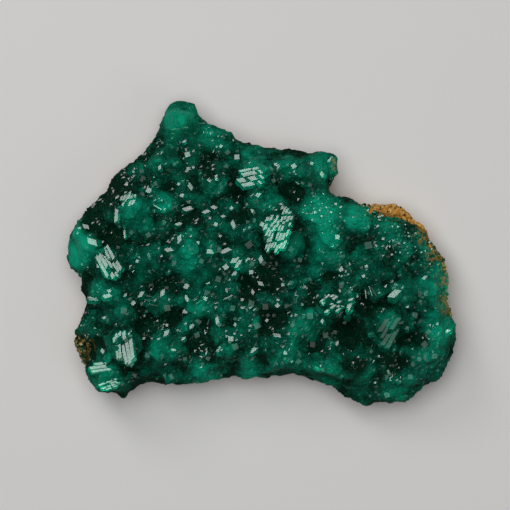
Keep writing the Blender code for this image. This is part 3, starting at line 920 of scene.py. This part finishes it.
places = places_of(fused)
glow_and_shade = np.zeros(len(places))
for (x, y), reach, strength in CLEAR_GLOW:
    away = np.hypot(places[:, 0] - x, places[:, 1] - y) / reach
    glow_and_shade = np.maximum(glow_and_shade, strength * np.clip(1 - away**2, 0, 1))
for (x, y), reach, strength in PAINTED_SHADE_PITS:
    away = np.hypot(places[:, 0] - x, places[:, 1] - y) / reach
    glow_and_shade -= strength * np.clip(1 - away**2, 0, 1)
# The skin's height over the mean of the top of each square millimetre round it, which paints shade:
# lower places are painted darker and higher ones lighter
cells = np.floor(places[:, :2]).astype(int) + HALF_GRID
levels = np.zeros((2 * HALF_GRID, 2 * HALF_GRID))
np.maximum.at(levels, (cells[:, 0], cells[:, 1]), places[:, 2])
known = (levels > 0).astype(float)
for axis in (0, 1):
    levels = sum(np.roll(levels, shift, axis) for shift in (-2, -1, 0, 1, 2))
    known = sum(np.roll(known, shift, axis) for shift in (-2, -1, 0, 1, 2))
relief = places[:, 2] - (levels / np.maximum(known, 1))[cells[:, 0], cells[:, 1]]
glow_and_shade += RELIEF_PAINTED_SHADE * np.clip(relief + RELIEF_SHIFT, *RELIEF_LIMITS)
mark(fused, "clear_glow_and_painted_shade", "POINT", glow_and_shade)
mark_patches(fused, "staining", STAINED, gain=1.6)

dioptase, tree, coordinates = new_material("dioptase")
broken_side = add_attribute(tree, "broken_side")
clouds = add_noise(tree, coordinates, scale=330, detail=3)
clouds = add_range(tree, clouds, low=0.35, high=0.70, to_low=-0.10, to_high=0.45)
# painted highlights: tiny specks of lighter teal, standing for glints off the skin's small facets
painted_glint_specks = add_noise(tree, coordinates, scale=2600, detail=1)
painted_glint_specks = add_range(tree, painted_glint_specks, low=0.60, high=0.72, to_high=0.40)
# How light the green is painted: from 0 where it is nearly black to 1 where it is bright green.
# Besides random clouds of tone, this holds painted glow, painted shade and painted highlights
# painted glow: the steep broken skin gets a lighter green, for light let through its thin rims
light = add_math(tree, "MULTIPLY_ADD", broken_side, BROKEN_SIDE_PAINTED_GLOW, clouds)
flashing_side = add_attribute(tree, "flashing_side")
# painted highlight: faces turned to the key lamp get a lighter green
light = add_math(tree, "MULTIPLY_ADD", flashing_side, FLASHING_PAINTED_HIGHLIGHT, light)
light = add_math(tree, "ADD", painted_glint_specks, light)
# painted glow and painted shade from the clear places, the pits and the relief
light = add_math(tree, "ADD", add_attribute(tree, "clear_glow_and_painted_shade"), light, clamp=True)
stained_green = add_node(
    tree,
    "Group",
    {
        "Coordinates": coordinates,
        "Colour": add_ramp(tree, light, GREENS, "LINEAR"),
        "Stain": OCHRE,
        "Share": add_attribute(tree, "staining"),
        "Spot Scale": 1300,
        "Spot Detail": 1,
        "None Under": 0.50,
        "Full Over": 0.58,
        "Strength": 0.9,
    },
    node_tree=spotted_stain,
)
etching = add_noise(tree, coordinates, scale=900, detail=2)
etched = add_range(tree, etching, low=0.35, high=0.70, to_low=0.03, to_high=0.17)
uneven = add_range(tree, broken_side, low=0.0, high=1.0, to_high=0.55)
ripple = add_node(tree, "Bump", {"Strength": 0.25, "Distance": 0.05 * MM, "Height": etching})
fill_sockets(
    tree,
    tree.nodes["Principled BSDF"],
    {
        "Base Color": stained_green.outputs["Colour"],
        "Roughness": add_math(tree, "ADD", etched, uneven),
        "Normal": ripple.outputs["Normal"],
        "IOR": REFRACTION,
        "Transmission Weight": CLARITY,
    },
)
absorb = add_node(tree, "VolumeAbsorption", {"Color": DEPTH_GREEN, "Density": DEPTH_DENSITY})
fill_sockets(tree, tree.nodes["Material Output"], {"Volume": absorb.outputs["Volume"]})
finish_piece(crust, dioptase, "dioptase", "dioptase_crust")

# The floor and the room: a pale matt sweep, and weak grey light all round. Mirror faces don't
# show the floor, because its pale image would lie on the crystals' steep sides as a grey veil.
FLOOR_SIZE = 4
FLOOR_TONE = (0.84, 0.83, 0.81, 1)
FLOOR_ROUGHNESS = 0.9
ROOM_TONE = (0.9, 0.95, 1.0, 1)
ROOM_STRENGTH = 0.03

bpy.ops.object.select_all(action="DESELECT")
bpy.ops.mesh.primitive_plane_add(size=FLOOR_SIZE, location=(0, 0, 0))
floor = bpy.context.object
floor.name = "floor"
floor.visible_glossy = False
floor_material, tree, _ = new_material("pale_floor")
floor_shader = tree.nodes["Principled BSDF"]
fill_sockets(tree, floor_shader, {"Base Color": FLOOR_TONE, "Roughness": FLOOR_ROUGHNESS})
floor.data.materials.append(floor_material)
world = bpy.data.worlds.new("room")
world.use_nodes = True
background = world.node_tree.nodes["Background"]
fill_sockets(world.node_tree, background, {"Color": ROOM_TONE, "Strength": ROOM_STRENGTH})
bpy.context.scene.world = world
bpy.context.scene.view_settings.view_transform = "Standard"
